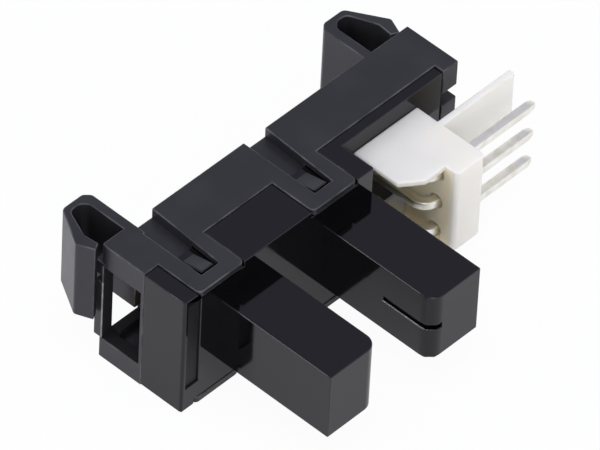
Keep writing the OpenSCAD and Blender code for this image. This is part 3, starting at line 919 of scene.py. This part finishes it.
tin = Recipe("solder_fillets")
climb_height = tin.size("Joint height", joint_top - board_back)
pin_joint = tin.size("Pin joint radius", PIN_JOINT)
lead_joint = tin.size("Lead joint radius", LEAD_JOINT)
ends = {"Start": (0, 0, 0), "End": tin.point(0.0, climb_height, 0.0)}
line = tin.node("GeometryNodeCurvePrimitiveLine", {}, ends)
line = tin.node("GeometryNodeResampleCurve", {}, {"Curve": line, "Count": JOINT_RINGS})
along = tin.node("GeometryNodeSplineParameter", out="Factor")
hollow = JOINT_TOP_SHARE + (1 - JOINT_TOP_SHARE) * (1 - along) ** JOINT_POWER
ring = tin.node("GeometryNodeCurvePrimitiveCircle", {}, {"Resolution": JOINT_SIDES, "Radius": pin_joint})
swept = {"Curve": line, "Profile Curve": ring, "Scale": hollow, "Fill Caps": True}
cone = tin.node("GeometryNodeCurveToMesh", {}, swept)
thin = lead_joint / pin_joint
thin_scale = tin.point(thin, 1.0, thin)
pin_count, pin_start, pin_step = wire_row(*pin_names)
pin_start.x = pin_run_x
rows = [tin.row(cone, pin_count, pin_start, pin_step)]
rows += [tin.row(cone, *wire_row(*names), thin_scale) for names in (emitter_wires, detector_wires)]
tin.made(tin.node("GeometryNodeJoinGeometry", {}, {0: rows}), "solder", "solder_joints")

# %% [markdown]
# The table
#
# The picture has a white table and nothing else. The floor is pale and catches a soft shadow. For the camera
# it is mostly plain white, and for mirrored rays nearly half, so the glossy sides mirror a clean table.

# %% Build the floor
FLOOR_Z, FLOOR_SIZE = cad_box[0].z, 3.0
PAPER, WHITE = (0.90, 0.90, 0.90, 1), (1, 1, 1, 1)
SEEN_SHARE, MIRRORED_SHARE = 0.95, 0.45


def floor_finish():
    f = Finish("pale_floor")
    seen = f.node("ShaderNodeLightPath", out="Is Camera Ray")
    mirrored = f.node("ShaderNodeLightPath", out="Is Glossy Ray")
    through = f.node("ShaderNodeLightPath", out="Is Transmission Ray")
    paper = f.node("ShaderNodeBsdfDiffuse", {}, {"Color": PAPER})
    white = f.node("ShaderNodeEmission", {}, {"Color": WHITE, "Strength": 1.0})
    share = seen * SEEN_SHARE + (mirrored + through) * MIRRORED_SHARE
    mixed = f.node("ShaderNodeMixShader", {}, {0: share, 1: paper, 2: white})
    f.node("ShaderNodeOutputMaterial", {}, {"Surface": mixed})
    return f.owner


half_floor = FLOOR_SIZE / 2
floor_plan = ((-1, -1), (1, -1), (1, 1), (-1, 1))
floor_corners = [(x * half_floor, y * half_floor, FLOOR_Z) for x, y in floor_plan]
floor_mesh = bpy.data.meshes.new("floor")
floor_mesh.from_pydata(floor_corners, [], [(0, 1, 2, 3)])
floor_mesh.materials.append(floor_finish())
floor = bpy.data.objects.new("floor", floor_mesh)
bpy.context.scene.collection.objects.link(floor)
print("floor height in mm:", round(FLOOR_Z / MM, 2))

# %% [markdown]
# The light and the world
#
# The world is white near the horizon and dim overhead, which is why the glossy tops stay dark while the
# sides are grey. Two large soft lamps light the part from above and from the front left. A narrow strip
# stands behind it, on the left, and draws the thin bright lines on the edges. Its long side lies square to
# the arms, so it spans the directions in which their rounded edges mirror.

# %% Build the world and the lamps
HORIZON, CEILING = (1.0, 1.0, 1.0, 1), (0.47, 0.47, 0.56, 1)
HORIZON_TOP, CEILING_START = 0.22, 0.55
UPRIGHT, ACROSS_THE_ARMS = (0, 0, 1), (0.743, 0, 0.669)
COOL, NEUTRAL = (0.95, 0.96, 1.0), (1.0, 1.0, 1.0)
LAMPS = {
    "top_softbox": ((-0.10, -0.15, 0.80), (0.55, 0.55), 2.3, COOL, UPRIGHT),
    "front_softbox": ((-0.55, -0.65, 0.45), (0.45, 0.45), 1.9, NEUTRAL, UPRIGHT),
    "edge_strip": ((-0.534, 0.418, 0.592), (0.08, 0.66), 0.9, NEUTRAL, ACROSS_THE_ARMS),
}

world = bpy.data.worlds.new("studio")
bpy.context.scene.world = world
w = Finish("studio", world)
direction = w.node("ShaderNodeTexCoord", out="Generated")
climb = w.node("ShaderNodeSeparateXYZ", {}, {0: direction}, "Z").ramp(HORIZON_TOP, CEILING_START)
sky = w.node("ShaderNodeBackground", {}, {"Color": w.mix(climb, HORIZON, CEILING), "Strength": 1.0})
w.node("ShaderNodeOutputWorld", {}, {"Surface": sky})


def softbox(name, spot, size, watts, colour, lean):
    """A lamp of a given width and height that looks at the part and that no camera sees."""
    lamp_data = bpy.data.lights.new(name, "AREA")
    lamp_data.shape = "RECTANGLE"
    lamp_data.size, lamp_data.size_y = size
    lamp_data.energy = watts
    lamp_data.color = colour
    lamp = bpy.data.objects.new(name, lamp_data)
    away = (Vector(spot) - AIM).normalized()
    side = Vector(lean).cross(away).normalized()
    stand = Matrix((side, away.cross(side), away)).transposed().to_4x4()
    stand.translation = Vector(spot)
    lamp.matrix_world = stand
    lamp.visible_camera = False
    bpy.context.scene.collection.objects.link(lamp)


for name, settings in LAMPS.items():
    softbox(name, *settings)
bpy.context.scene.view_settings.view_transform = "Standard"
print("lamps:", list(LAMPS))
